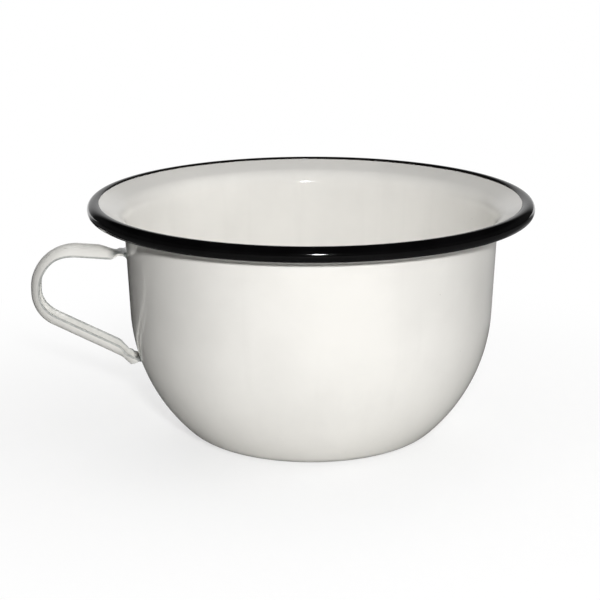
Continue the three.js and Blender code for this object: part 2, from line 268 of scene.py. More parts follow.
class ChamberPotColours(bpy.types.PropertyGroup):
    """Colours of the enamels, the table and the flags"""

    white: colour("White", "White enamel on the pot", (0.87, 0.854, 0.815))
    white_thin: colour("Thin white", "White enamel where it is thin", (0.42, 0.42, 0.41))
    strap: colour("Strap", "White enamel on the handle", (0.90, 0.887, 0.845))
    # Dark grey put along the lips, over the flat end and in the trough: painted shade there, with the grey
    # of thin enamel at the lips
    strap_thin_and_shade: colour("Thin strap", "Thin enamel along the lips and on the flat end", (0.24, 0.26, 0.255))
    # Dark grey of the enamel at the welds: partly the grey of its thin coat, partly painted shade in the
    # corners between the strap and the wall
    pooled_and_shaded: colour("Pooled", "Enamel run together at the welds", (0.38, 0.40, 0.39))
    black: colour("Black", "Black enamel on the rim", (0.0026, 0.0025, 0.0027))
    black_thin: colour("Thin black", "Black enamel where it is thin", (0.05, 0.045, 0.04))
    speck: colour("Speck", "Firing specks", (0.16, 0.14, 0.12))
    table: colour("Table", "White table", (0.98, 0.98, 0.98))
    flag: colour("Flag", "Dark cards that draw the outlines", (0.03, 0.03, 0.03))


class ChamberPotStageSettings(bpy.types.PropertyGroup):
    """Camera and light"""

    target_height: length("Target height", "Height of the point that the camera looks at", 64 * MM)
    distance: length("Distance", "Camera to its target", 1.0)
    elevation: angle("Elevation", "Camera above the table", 15.58)
    swing: angle("Swing", "Camera towards the handle's side", 3.93)
    lens: FloatProperty(name="Lens", description="Focal length", default=109.46, unit="CAMERA")
    key_power: FloatProperty(name="Key", description="Key light in front", default=5.7, unit="POWER")
    top_power: FloatProperty(name="Top", description="Light over the table", default=3.0, unit="POWER")
    side_power: FloatProperty(name="Side", description="Light from the right", default=2.5, unit="POWER")
    back_power: FloatProperty(name="Back", description="Light from behind", default=15.0, unit="POWER")
    glint_strength: FloatProperty(name="Glint", description="Brightness of the highlights", default=220.0)
    ambient: FloatProperty(name="Ambient", description="Light of the room", default=0.06)


class ChamberPotSettings(bpy.types.PropertyGroup):
    """All settings of the pot"""

    body: PointerProperty(type=ChamberPotBodySizes)
    edging: PointerProperty(type=ChamberPotEdgingSizes)
    handle: PointerProperty(type=ChamberPotHandleSizes)
    colours: PointerProperty(type=ChamberPotColours)
    stage: PointerProperty(type=ChamberPotStageSettings)


# Plane geometry. A point of a section is a complex number: distance from the pot's axis, and
# height as its imaginary part.


def dot(a, b):
    return (a * b.conjugate()).real


def heading(start, end):
    return (end - start) / abs(end - start)


def turn_between(before, after):
    return cmath.phase(after / before)


def lerp(a, b, share):
    return a + (b - a) * share


def smoothstep(value, low, high):
    share = min(1, max(0, (value - low) / (high - low)))
    return share * share * (3 - 2 * share)


def hump(value, middle, width):
    """A smooth hump of height 1."""
    return math.exp(-(((value - middle) / width) ** 2))


def flared(share):
    """A quarter of a circle, from 0 with a slow start to 1."""
    return 1 - math.sqrt(1 - share**2)


def arc(centre, radius, start, end, steps):
    """Points along an arc, with both of its ends."""
    return [centre + cmath.rect(radius, lerp(start, end, i / steps)) for i in range(steps + 1)]


def line(start, end, steps):
    """Points along a line, with both of its ends."""
    return [lerp(start, end, i / steps) for i in range(steps + 1)]


class PotSection:
    """The pot's half section: base, heel, bowl, wall, lip, brim and roll, each tangent to the next."""

    def __init__(self, sizes, edging):
        self.sizes = sizes
        bead = sizes.bead_diameter / 2
        wall_radius = RIM_RADIUS - sizes.brim_width
        self.wall_outward = cmath.rect(1, -sizes.wall_taper)
        self.wall_upward = self.wall_outward * 1j
        self.brim_outward = cmath.rect(1, sizes.brim_rise)
        self.brim_angle = math.pi / 2 + sizes.brim_rise
        self.roll_centre = complex(RIM_RADIUS - bead, sizes.height - bead)
        self.roll_radius = bead - edging.thickness - sizes.sheet

        # The lip touches the straight wall at its top, and the underside of the brim
        brim_under = self.roll_centre + cmath.rect(self.roll_radius, self.brim_angle)
        lip_share = sizes.lip_radius * (math.sin(sizes.wall_taper + sizes.brim_rise) - 1)
        brim_share = (wall_radius - brim_under.real) * self.brim_outward.imag
        wall_height = brim_under.imag + (brim_share + lip_share) / self.brim_outward.real
        self.wall_top = complex(wall_radius, wall_height)
        self.lip_centre = self.wall_top + self.wall_outward * sizes.lip_radius

        # The bowl's arc holds the heel's arc and touches it, and runs into the straight wall
        self.heel_centre = complex(sizes.base_diameter / 2, sizes.heel_radius)
        beside_wall_top = self.wall_top - self.wall_outward * sizes.bowl_radius
        from_heel = beside_wall_top - self.heel_centre
        centre_distance = sizes.bowl_radius - sizes.heel_radius
        along_wall = dot(from_heel, self.wall_upward)
        drop = math.sqrt(along_wall**2 - abs(from_heel) ** 2 + centre_distance**2) - along_wall
        self.bowl_centre = beside_wall_top + self.wall_upward * drop
        self.heel_angle = math.asin((self.heel_centre - self.bowl_centre).imag / centre_distance)
        self.heel_top = self.heel_centre + cmath.rect(sizes.heel_radius, self.heel_angle)
        self.bowl_top = self.bowl_centre + self.wall_outward * sizes.bowl_radius

    def face(self, depth):
        """One face of the sheet at a depth below the outside, from the axis to the roll's end."""
        sizes = self.sizes
        base_angle = -math.pi / 2
        wall_angle = -sizes.wall_taper
        lip_start = math.pi + wall_angle
        heel = arc(self.heel_centre, sizes.heel_radius - depth, base_angle, self.heel_angle, HEEL_STEPS)
        bowl = arc(self.bowl_centre, sizes.bowl_radius - depth, self.heel_angle, wall_angle, BOWL_STEPS)
        lip = arc(self.lip_centre, sizes.lip_radius + depth, lip_start, self.brim_angle, LIP_STEPS)
        roll_end = self.brim_angle - 2 * math.pi + sizes.roll_opening
        roll = arc(self.roll_centre, self.roll_radius + depth, self.brim_angle, roll_end, ROLL_STEPS)
        base = line(complex(0, depth), heel[0], BASE_STEPS)
        wall = line(bowl[-1], lip[0], WALL_STEPS)
        brim = line(lip[-1], roll[0], BRIM_STEPS)
        return [*base, *heel[1:], *bowl[1:], *wall[1:], *lip[1:], *brim[1:], *roll[1:]]

    def outline(self):
        """The whole sheet: its outside, the rounded cut edge in the roll, and back along its inside."""
        outside = self.face(0)
        inside = self.face(self.sizes.sheet)
        middle = (outside[-1] + inside[-1]) / 2
        half = outside[-1] - middle
        cut = [middle + half * cmath.rect(1, math.pi * i / EDGE_STEPS) for i in range(1, EDGE_STEPS)]
        return [*outside, *cut, *reversed(inside)]

    def wall_at(self, height):
        """The outside of the pot at a height, and the direction square to it."""
        if height > self.bowl_top.imag:
            rise = (height - self.wall_top.imag) / self.wall_upward.imag
            return self.wall_top + self.wall_upward * rise, self.wall_outward
        in_bowl = height > self.heel_top.imag
        centre = self.bowl_centre if in_bowl else self.heel_centre
        radius = self.sizes.bowl_radius if in_bowl else self.sizes.heel_radius
        outward = cmath.rect(1, math.asin((height - centre.imag) / radius))
        return centre + outward * radius, outward


class BentLine:
    """Straight runs joined by round bends, along which a strip is laid."""

    def __init__(self, corners, radii):
        self.parts = []
        start = corners[0]
        for i, radius in enumerate(radii):
            corner = corners[i + 1]
            before = heading(corners[i], corner)
            after = heading(corner, corners[i + 2])
            turn = turn_between(before, after)
            run = radius * math.tan(abs(turn) / 2)
            bend_start = corner - before * run
            self.parts.append((abs(bend_start - start), start, before, 0))
            self.parts.append((radius * abs(turn), bend_start, before, turn))
            start = corner + after * run
        self.parts.append((abs(corners[-1] - start), start, heading(start, corners[-1]), 0))
        self.length = sum(part[0] for part in self.parts)

    def at(self, distance):
        """The point at a distance along the line, and the direction there."""
        for part in self.parts:
            part_length, start, direction, turn = part
            if distance <= part_length or part is self.parts[-1]:
                break
            distance -= part_length
        if turn == 0:
            return start + direction * distance, direction
        radius = part_length / abs(turn)
        side = 1j * math.copysign(1, turn)
        turned = cmath.rect(1, turn * distance / part_length)
        centre = start + direction * side * radius
        return centre - direction * side * radius * turned, direction * turned


class StrapHandle:
    """The pressed strip: its line along the lips and its section at each distance."""

    def __init__(self, section, sizes):
        self.sizes = sizes
        self.section = section
        self.trough_depth = sizes.trough_depth - sizes.strip / 2
        flat_wall, _ = section.wall_at(section.wall_top.imag - sizes.flat_drop)
        foot_wall, foot_outward = section.wall_at(flat_wall.imag - sizes.foot_drop)
        arm = cmath.rect(1, sizes.arm_rise)
        upper_end = flat_wall + arm * sizes.wall_gap - arm * 1j * sizes.flat_level
        grip_line = sizes.reach - sizes.trough_depth
        grip_top = upper_end + arm * ((grip_line - upper_end.real) / arm.real)
        grip_bottom = grip_top - 1j * sizes.grip_drop

        # The pot is round, so that the wall falls away from the foot's middle to its lips
        around = foot_wall.real / foot_outward.real
        half_chord = self.half_chord(self.trough_depth)
        fall_away = around - math.sqrt(around**2 - half_chord**2)
        stand_off = sizes.wall_gap + sizes.strip / 2 - fall_away
        foot_end = foot_wall + foot_outward * stand_off
        self.foot_inward = -foot_outward
        foot_top = foot_end + cmath.rect(sizes.foot_length, sizes.foot_slope)
        corners = [upper_end, grip_top, grip_bottom, foot_top, foot_end]
        self.line = BentLine(corners, [sizes.upper_bend, sizes.lower_bend, sizes.foot_bend])
        arm_run, upper_run, grip_run = [part[0] for part in self.line.parts[:3]]
        self.grip_start = arm_run
        self.grip_end = arm_run + upper_run + grip_run

    def half_chord(self, depth):
        """Half of the width between the lips, along the middle of the strip's thickness."""
        flat = self.sizes.flat_width / 2
        trough = self.sizes.trough_width / 2 - self.sizes.strip / 2
        return lerp(flat, trough, depth / self.trough_depth)

    def levels(self, distance):
        """Levels of the crest and of the lips over the line."""
        sizes = self.sizes
        from_foot = self.line.length - distance
        flat_end = sizes.flat_length
        crest_formed = smoothstep(distance, flat_end, flat_end + sizes.crest_form)
        lips_formed = smoothstep(distance, flat_end, flat_end + sizes.lip_form)
        pinched = smoothstep(sizes.foot_length + sizes.foot_form - from_foot, 0, sizes.foot_form)
        opened = smoothstep(sizes.foot_length - from_foot, 0, sizes.foot_length)
        gripped = smoothstep(distance, self.grip_start, self.grip_start + sizes.grip_form)
        gripped -= smoothstep(distance, self.grip_end, self.grip_end + sizes.grip_form)
        crest = lerp(sizes.flat_level + sizes.flat_crown, self.trough_depth, crest_formed)
        lips = lerp(sizes.flat_level, 0, lips_formed) + sizes.grip_press * gripped
        lips += sizes.foot_pinch * (pinched - opened)
        return crest, lips

    def thickness(self, distance):
        """The strip's thickness, rounded off at its two ends."""
        edge = self.sizes.strip / 2
        inset = max(0, 1 - min(distance, self.line.length - distance) / edge)
        return self.sizes.strip * max(LEAST_STRIP, math.sqrt(1 - inset**2))

    def ring(self, distance):
        """Points round the strip at a distance, with how far each is from a lip and if it is inside."""
        crest, lips = self.levels(distance)
        depth = crest - lips
        half_chord = self.half_chord(depth)
        half_angle = 2 * math.atan(depth / half_chord)
        radius = half_chord / math.sin(half_angle)
        centre = complex(0, crest - radius)
        half = self.thickness(distance) / 2
        start = math.pi / 2 - half_angle
        end = math.pi / 2 + half_angle

        points = []
        for side, first, last in ((half, start, end), (-half, end, start)):
            for i in range(TROUGH_STEPS + 1):
                place = lerp(first, last, i / TROUGH_STEPS)
                from_lip = radius * (half_angle - abs(place - math.pi / 2))
                points.append((centre + cmath.rect(radius + side, place), from_lip, side < 0))
            lip = centre + cmath.rect(radius, last)
            towards_lip = math.copysign(1, last - first) * 1j
            for i in range(1, EDGE_STEPS):
                swing = math.pi * i / EDGE_STEPS
                out = side * math.cos(swing) + half * math.sin(swing) * towards_lip
                points.append((lip + cmath.rect(1, last) * out, 0, False))
        return points

    def place(self, distance, point):
        """Where a point of the strip's section lies on the pot."""
        sizes = self.sizes
        from_foot = self.line.length - distance
        on_line, direction = self.line.at(distance)
        slant = math.tan(sizes.foot_cut) * max(0, 1 - from_foot / sizes.foot_length)
        _, lips = self.levels(distance)
        along = -slant * (point.imag - lips)
        placed = on_line + direction * (1j * point.imag + along)
        return Vector((-placed.real, point.real, placed.imag))

    def to_wall(self, start, direction, across):
        """How far it is from a point beside the strip to the round wall, in a direction."""
        reach = 0
        for _ in range(SETTLE_STEPS):
            place = start + direction * reach
            wall = math.sqrt(self.section.wall_at(place.imag)[0].real ** 2 - across**2)
            reach += (wall - place.real) * direction.real
        return reach

    def beside_flat_end(self, point, height):
        """A point at a height over the wall, by its place in the flat end's section."""
        upper_end, direction = self.line.at(0)
        start = upper_end + direction * 1j * point.imag
        place = start + direction * (self.to_wall(start, direction, point.real) + height)
        return Vector((-place.real, point.real, place.imag))

    def beside_foot(self, up, across, share):
        """A point between a lip and the wall, up along the foot. The share goes from 0 at the lip to 1."""
        distance = self.line.length - max(0, up)
        on_line, direction = self.line.at(distance)
        _, lips = self.levels(distance)
        start = on_line + direction * (1j * lips - min(0, up))
        reach = self.to_wall(start, self.foot_inward, across)
        place = start + self.foot_inward * lerp(-SUNK, reach + SUNK, share)
        return Vector((-place.real, across, place.imag))


# Meshes


def clear(name):
    """Removes an earlier object of this name, so that it can be built again."""
    earlier = bpy.data.objects.get(name)
    if earlier is not None:
        bpy.data.objects.remove(earlier)


def grid_faces(rows, columns, close_rows=False, close_columns=False):
    """Quads over a grid of points that is stored row by row."""
    faces = []
    for i in range(rows if close_rows else rows - 1):
        for k in range(columns if close_columns else columns - 1):
            a = i * columns
            b = (i + 1) % rows * columns
            right = (k + 1) % columns
            faces.append((a + k, a + right, b + right, b + k))
    return faces


def tube_faces(rings, around):
    """Faces over a tube that is stored ring by ring, with both of its ends."""
    faces = grid_faces(rings, around, close_columns=True)
    faces.append(tuple(reversed(range(around))))
    faces.append(tuple(range((rings - 1) * around, rings * around)))
    return faces


def rectangle(half_width, half_height, level):
    """Corners of a level rectangle round the origin."""
    return [
        (-half_width, -half_height, level),
        (half_width, -half_height, level),
        (half_width, half_height, level),
        (-half_width, half_height, level),
    ]


def mesh_object(name, points, faces, material, thin=None):
    """A smooth mesh in the scene. Thin holds, for each point, how thin its enamel is; on the strap it also
    holds painted shade.
    """
    clear(name)
    mesh = bpy.data.meshes.new(name)
    mesh.from_pydata([tuple(point) for point in points], [], faces)
    attribute = mesh.attributes.new("thin", "FLOAT", "POINT")
    attribute.data.foreach_set("value", thin or [0.0] * len(points))
    mesh.materials.append(material)
    mesh.shade_smooth()
    made = bpy.data.objects.new(name, mesh)
    bpy.context.scene.collection.objects.link(made)
    return made


def closed_piece(name, points, faces, material, thin=None):
    """A closed mesh. Points that meet on the pot's axis are joined, and all faces look outwards."""
    piece = mesh_object(name, points, faces, material, thin)
    mesh = bmesh.new()
    mesh.from_mesh(piece.data)
    on_axis = [vertex for vertex in mesh.verts if vertex.co.xy.length < AXIS_WIDTH]
    bmesh.ops.remove_doubles(mesh, verts=on_axis, dist=AXIS_WIDTH)
    bmesh.ops.recalc_face_normals(mesh, faces=mesh.faces)
    mesh.to_mesh(piece.data)
    mesh.free()
    return piece


def uneven(point, amount):
    """A point of the pot, moved as a drawn sheet strays from true round. The base stays flat."""
    rising = smoothstep(point.z, *STRAY_HEIGHTS)
    stray = amount * rising * noise.noise(point * STRAY_SCALE)
    out = Vector((point.x, point.y, 0))
    return point + out.normalized() * stray if out.length > MM else point


def turned(name, outlines, material, unevenness, thin=None):
    """A piece turned round the pot's axis. Each outline is the closed section at its angle."""
    points = []
    for i, outline in enumerate(outlines):
        around = cmath.rect(1, 2 * math.pi * i / len(outlines))
        for point in outline:
            place = Vector((point.real * around.real, point.real * around.imag, point.imag))
            points.append(uneven(place, unevenness))
    faces = grid_faces(len(outlines), len(outlines[0]), close_rows=True, close_columns=True)
    return closed_piece(name, points, faces, material, thin)


def finish_piece(piece, slot, *nodes):
    """Lets a piece ride on the pot and stand for its solids."""
    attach(piece, BODY)
    if nodes:
        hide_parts(*nodes)


# Materials


def node(tree, kind, inputs, **settings):
    """A node with its inputs given as values or as sockets to link from."""
    made = tree.nodes.new(kind)
    for key, value in settings.items():
        setattr(made, key, value)
    for key, value in inputs.items():
        if isinstance(value, bpy.types.NodeSocket):
            tree.links.new(value, made.inputs[key])
        else:
            made.inputs[key].default_value = value
    return made


def shaded(rgb, share=1.0):
    """An opaque colour, made darker or lighter by a share."""
    return (*(min(1, component * share) for component in rgb), 1)


def maths(tree, operation, *values):
    return node(tree, "ShaderNodeMath", dict(enumerate(values)), operation=operation).outputs[0]


def mapped(tree, value, from_low, from_high, to_low, to_high):
    """A value carried over from one range to another, with soft ends."""
    inputs = {0: value, 1: from_low, 2: from_high, 3: to_low, 4: to_high}
    made = node(tree, "ShaderNodeMapRange", inputs, interpolation_type="SMOOTHSTEP")
    return made.outputs[0]


def mixed(tree, share, first, second):
    """A mix of two colours."""
    made = node(tree, "ShaderNodeMix", {0: share, 6: first, 7: second}, data_type="RGBA")
    return made.outputs[2]


def noised(tree, place, scale, detail=2.0):
    return node(tree, "ShaderNodeTexNoise", {"Vector": place, "Scale": scale, "Detail": detail}).outputs[0]


def patterned(tree, place, pattern):
    """Noise spread over the levels of a pattern."""
    noisy = noised(tree, place, pattern.scale, pattern.detail)
    return mapped(tree, noisy, *pattern.contrast, *pattern.levels)


def new_material(name):
    """An empty node material and its tree."""
    material = bpy.data.materials.get(name) or bpy.data.materials.new(name)
    material.use_nodes = True
    material.node_tree.nodes.clear()
    return material, material.node_tree


def put_on(tree, shader):
    """Makes a shader the surface of its material."""
    node(tree, "ShaderNodeOutputMaterial", {"Surface": shader.outputs[0]})


def glassy_enamel(tree, place, base, roughness, peel, swell):
    """A fired glass coat, with a fine orange peel on slow swells."""
    slow = noised(tree, place, SWELL_SCALE)
    fine = noised(tree, place, PEEL_SCALE, PEEL_DETAIL)
    waves = node(tree, "ShaderNodeBump", {"Strength": swell, "Distance": SWELL_HEIGHT, "Height": slow})
    skin_inputs = {"Strength": peel, "Distance": PEEL_HEIGHT, "Height": fine, "Normal": waves.outputs[0]}
    skin = node(tree, "ShaderNodeBump", skin_inputs)
    inputs = {"Base Color": base, "Roughness": roughness, "IOR": ENAMEL_IOR, "Normal": skin.outputs[0]}
    put_on(tree, node(tree, "ShaderNodeBsdfPrincipled", inputs))


def white_enamel(name, tone, thin_tone, speck, cloud_shade):
    """White vitreous enamel: milky clouds, faint runs, firing specks, and grey where it is thin, which on
    the strap is also painted shade.
    """
    material, tree = new_material(name)
    place = node(tree, "ShaderNodeTexCoord", {}).outputs["Object"]
    clouds = patterned(tree, place, MILKY_CLOUDS)
    milky = mixed(tree, clouds, shaded(tone, cloud_shade), shaded(tone))
    upright = node(tree, "ShaderNodeMapping", {"Vector": place, "Scale": RUN_STRETCH}).outputs[0]
    runs = patterned(tree, upright, WHITE_RUNS)
    with_runs = mixed(tree, runs, milky, shaded(tone, RUN_SHADE))

    cells = node(tree, "ShaderNodeTexVoronoi", {"Vector": place, "Scale": SPECK_SCALE}).outputs
    cell_shade = node(tree, "ShaderNodeSeparateColor", {0: cells["Color"]}).outputs[0]
    dots = mapped(tree, cells["Distance"], *SPECK_EDGE, 1.0, 0.0)
    chosen = mapped(tree, cell_shade, *SPECK_CHOICE, 0.0, SPECK_STRENGTH)
    with_specks = mixed(tree, maths(tree, "MULTIPLY", dots, chosen), with_runs, shaded(speck))

    # The thin attribute greys the enamel: thin enamel, and on the strap also painted shade along the lips,
    # over the flat end and in the trough
    thin = node(tree, "ShaderNodeAttribute", {}, attribute_name="thin").outputs["Fac"]
    ragged = maths(tree, "MULTIPLY", thin, patterned(tree, place, WHITE_RAGGED))
    base = mixed(tree, ragged, with_specks, shaded(thin_tone))
    roughness = patterned(tree, place, WHITE_GLOSS)
    glassy_enamel(tree, place, base, roughness, peel=0.12, swell=0.05)
    return material


def black_enamel(name, tone, thin_tone):
    """Black vitreous enamel, a little brown where it is thin at its edge."""
    material, tree = new_material(name)
    place = node(tree, "ShaderNodeTexCoord", {}).outputs["Object"]
    clouds = patterned(tree, place, BLACK_CLOUDS)
    deep = mixed(tree, clouds, shaded(tone, BLACK_CLOUD_SHADE), shaded(tone))
    thin = node(tree, "ShaderNodeAttribute", {}, attribute_name="thin").outputs["Fac"]
    ragged = maths(tree, "MULTIPLY", thin, patterned(tree, place, BLACK_RAGGED))
    base = mixed(tree, ragged, deep, shaded(thin_tone))
    roughness = patterned(tree, place, BLACK_GLOSS)
    glassy_enamel(tree, place, base, roughness, peel=0.15, swell=0.12)
    return material


class CHAMBERPOT_OT_body(bpy.types.Operator):
    """Builds the drawn sheet: base, bowl, wall, lip, brim and rolled edge"""

    bl_idname = "chamber_pot.body"
    bl_label = "Pot Body"

    def execute(self, context):
        settings = context.scene.chamber_pot
        colours = settings.colours
        outline = PotSection(settings.body, settings.edging).outline()
        material = white_enamel(
            "pot_white_enamel", colours.white, colours.white_thin, colours.speck, cloud_shade=0.94
        )
        piece = turned("pot_body_enamel", [outline] * TURN_STEPS, material, settings.body.unevenness)
        finish_piece(piece, "white_enamel", "pot_body")
        return {"FINISHED"}


class CHAMBERPOT_OT_edging(bpy.types.Operator):
    """Builds the black coat over the rolled edge, with its wavering edge on the brim"""

    bl_idname = "chamber_pot.edging"
    bl_label = "Black Edging"

    def execute(self, context):
        settings = context.scene.chamber_pot
        colours = settings.colours
        section = PotSection(settings.body, settings.edging)
        material = black_enamel("rim_black_enamel", colours.black, colours.black_thin)
        outlines = []
        thin = []
        for i in range(TURN_STEPS):
            outline, edges = self.outline(section, settings.edging, 2 * math.pi * i / TURN_STEPS)
            outlines.append(outline)
            thin.extend(edges)
        piece = turned("rim_edging_enamel", outlines, material, settings.body.unevenness, thin)
        finish_piece(piece, "black_enamel", "rim_edging")
        return {"FINISHED"}

    def outline(self, section, sizes, around):
        """The coat's section at an angle round the pot, and where it is thin."""
        circle = Vector((math.cos(around), math.sin(around), 0))
        waver = sizes.waver * sum(weight * noise.noise(circle * scale) for scale, weight in WAVES)
        on_brim = sizes.on_brim + sizes.tilt * math.cos(around - sizes.wide_side) + waver
        face = section.roll_radius + section.sizes.sheet
        turn = sizes.turn + waver / face
        square = cmath.rect(1, section.brim_angle)
        start = section.roll_centre + square * face

        path = []
        for i in range(COAT_STEPS):
            back = on_brim * (1 - i / COAT_STEPS)
            path.append((start - section.brim_outward * back, square, on_brim - back))
        for i in range(ROLL_STEPS + 1):
            swing = turn * i / ROLL_STEPS
            out = cmath.rect(1, section.brim_angle - swing)
            path.append((section.roll_centre + out * face, out, on_brim + swing * face))

        whole = path[-1][2]
        over = []
        under = []
        thin = []
        for point, out, along in path:
            from_edge = min(along, whole - along)
            inset = max(0, 1 - from_edge / sizes.feather)
            height = sizes.thickness * max(LEAST_COAT, math.sqrt(1 - inset**2))
            over.append(point + out * height)
            under.append(point + out * COAT_LIFT)
            thin.append(inset)
        return [*over, *reversed(under)], [*thin, *reversed(thin)]


class CHAMBERPOT_OT_handle(bpy.types.Operator):
    """Builds the pressed strap handle"""

    bl_idname = "chamber_pot.handle"
    bl_label = "Strap Handle"

    def execute(self, context):
        settings = context.scene.chamber_pot
        colours = settings.colours
        section = PotSection(settings.body, settings.edging)
        handle = StrapHandle(section, settings.handle)
        material = white_enamel(
            "strap_white_enamel", colours.strap, colours.strap_thin_and_shade, colours.speck, cloud_shade=0.9
        )
        steps = math.ceil(handle.line.length / HANDLE_STEP)
        distances = [handle.line.length * i / steps for i in range(steps + 1)]
        distances += STRIP_END_STEPS + [handle.line.length - step for step in STRIP_END_STEPS]

        points = []
        thin = []
        for distance in sorted(distances):
            for point, from_lip, inside in handle.ring(distance):
                points.append(self.worked(handle, distance, point))
                # Greying of each point: thin enamel at the lips, and painted shade along them, on the flat
                # end and in the trough
                thin.append(self.thinness_and_shade(distance, from_lip, inside))
        rings = len(distances)
        faces = tube_faces(rings, len(points) // rings)
        piece = closed_piece("handle_enamel", points, faces, material, thin)
        finish_piece(piece, "white_enamel", "handle")
        return {"FINISHED"}

    def worked(self, handle, distance, point):
        """A point of the strip with the marks of its forming: creases at the foot, and slow dents."""
        sizes = handle.sizes
        from_foot = handle.line.length - distance
        creases = 0
        for share, width, weight in CREASES:
            creases += weight * hump(from_foot, share * sizes.foot_length, width)
        side = smoothstep(abs(point.real), *CREASE_SIDES)
        across = point.real * (1 - CREASE_NARROWING * creases * side)
        pressed = complex(across, point.imag + sizes.crease_depth * creases * side)
        place = handle.place(distance, pressed)
        in_noise = place * DENT_SCALE
        dents = Vector((noise.noise(in_noise), noise.noise(in_noise + DENT_SHIFT), 0))
        return place + dents * DENT_DEPTH

    def thinness_and_shade(self, distance, from_lip, inside):
        """How grey the enamel is made, from 0 to 1: thin enamel with painted shade along the lips, and
        painted shade over the flat end and in the trough.
        """
        at_lip = 1 - smoothstep(from_lip, 0, LIP_THIN_AND_SHADE_WIDTH)
        on_flat = smoothstep(from_lip, *FLAT_PAINTED_SHADE_EDGE)
        near_end = 1 - smoothstep(distance, *FLAT_PAINTED_SHADE_END)
        return max(lerp(LIP_THIN_AND_SHADE * at_lip, on_flat, near_end), TROUGH_PAINTED_SHADE if inside else 0)


class CHAMBERPOT_OT_welds(bpy.types.Operator):
    """Builds the enamel that has run into the corners over the welds"""

    bl_idname = "chamber_pot.welds"
    bl_label = "Enamel over the Welds"

    def execute(self, context):
        settings = context.scene.chamber_pot
        colours = settings.colours
        section = PotSection(settings.body, settings.edging)
        handle = StrapHandle(section, settings.handle)
        # The pooled colour paints shade into the corners at the welds, over the grey of the thin enamel
        # there
        material = white_enamel(
            "pooled_enamel_painted_shade", colours.pooled_and_shaded, colours.strap_thin_and_shade, colours.speck, cloud_shade=0.85
        )
        upper = self.skirt(handle, material)
        finish_piece(upper, "white_enamel", "upper_weld_top", "upper_weld_under")
        for name, side, weld in (
            ("foot_pool_front", -1, "lower_weld_front"),
            ("foot_pool_back", 1, "lower_weld_back"),
        ):
            finish_piece(self.foot_pool(handle, material, name, side), "white_enamel", weld)
        finish_piece(self.foot_collar(handle, material), "white_enamel")
        return {"FINISHED"}

    def skirt(self, handle, material):
        """A hollow fillet all round the flat end, from the strip out on to the wall."""
        sizes = handle.sizes
        outline = [point for point, _, _ in handle.ring(sizes.strip)]
        points = []
        for i, point in enumerate(outline):
            tangent = heading(outline[i - 1], outline[(i + 1) % len(outline)])
            out = tangent * -1j
            at_lip = 1 - abs(tangent.real)
            lumps = 1 + LUMP_HEIGHT * noise.noise(Vector((point.real, point.imag, 0)) * LUMP_SCALE)
            radius = sizes.fillet * lerp(1, FILLET_AT_LIPS, at_lip) * lumps
            profile = [(-SUNK, radius)]
            for k in range(FILLET_STEPS + 1):
                swing = math.pi / 2 * k / FILLET_STEPS
                profile.append((radius * (1 - math.cos(swing)), radius * (1 - math.sin(swing))))
            profile += [(radius, -SUNK), (-SUNK, -SUNK)]
            for away, height in profile:
                points.append(handle.beside_flat_end(point + out * away, height))
        rows = len(outline)
        faces = grid_faces(rows, len(points) // rows, close_rows=True, close_columns=True)
        return closed_piece("upper_fillet_enamel", points, faces, material)

    def foot_pool(self, handle, material, name, side):
        """Enamel that joins one lip of the foot to the wall, drawn in at its middle."""
        sizes = handle.sizes
        lip = side * handle.half_chord(handle.trough_depth)
        points = []
        for i in range(FILLET_STEPS + 1):
            share = i / FILLET_STEPS
            top = lerp(sizes.pool_waist, sizes.pool_rise, (2 * share - 1) ** 2)
            bottom = lerp(*POOL_FOOT, share)
            half = sizes.strip * lerp(*POOL_HALF, share) + sizes.pool_flare * flared(share)
            for k in range(POOL_SIDES):
                swing = 2 * math.pi * k / POOL_SIDES
                up = lerp(bottom, top, (1 + math.cos(swing)) / 2)
                points.append(handle.beside_foot(up, lip + half * math.sin(swing), share))
        return closed_piece(name, points, tube_faces(FILLET_STEPS + 1, POOL_SIDES), material)

    def foot_collar(self, handle, material):
        """Enamel that closes the gap between the foot's end and the wall, from lip to lip."""
        sizes = handle.sizes
        distance = handle.line.length - sizes.strip / 2
        ring = [point for point, _, _ in handle.ring(distance)]
        outside = ring[: TROUGH_STEPS + 1]
        inside = ring[TROUGH_STEPS + EDGE_STEPS :][: TROUGH_STEPS + 1]
        shares = [i / FILLET_STEPS for i in range(FILLET_STEPS + 1)]
        points = []
        for over, under in zip(outside, reversed(inside)):
            flare = heading(under, over) * sizes.pool_flare
            rim = [(over, flare, share) for share in shares]
            rim += [(under, -flare, share) for share in reversed(shares)]
            for point, spread, share in rim:
                start = handle.place(distance, point + spread * flared(share))
                flat = complex(-start.x, start.z)
                reach = handle.to_wall(flat, handle.foot_inward, start.y) + SUNK
                flat += handle.foot_inward * reach * share
                points.append(Vector((-flat.real, start.y, flat.imag)))
        rings = TROUGH_STEPS + 1
        faces = tube_faces(rings, len(points) // rings)
        return closed_piece("foot_collar", points, faces, material)


class Lamp(NamedTuple):
    """A lamp, placed by degrees from the camera's side to its right and upwards, and by its distance."""

    name: str
    power: float
    around: float
    up: float
    distance: float
    width: float
    height: float


def set_round(placed, stage, around, up, distance):
    """Puts a lamp or the camera round the pot, at angles from the camera's side, to face the target."""
    swing = around - stage.swing
    flat = math.cos(up)
    back = Vector((flat * math.sin(swing), -flat * math.cos(swing), math.sin(up)))
    placed.location = Vector((0, 0, stage.target_height)) + back * distance
    placed.rotation_euler = back.to_track_quat("Z", "Y").to_euler()


def mirrored_card(name, points, faces, tone, strength):
    """A card that only reflections see."""
    material, tree = new_material(name)
    put_on(tree, node(tree, "ShaderNodeEmission", {"Color": tone, "Strength": strength}))
    card = mesh_object(name, points, faces, material)
    card.visible_camera = False
    card.visible_diffuse = False
    card.visible_transmission = False
    card.visible_shadow = False
    return card


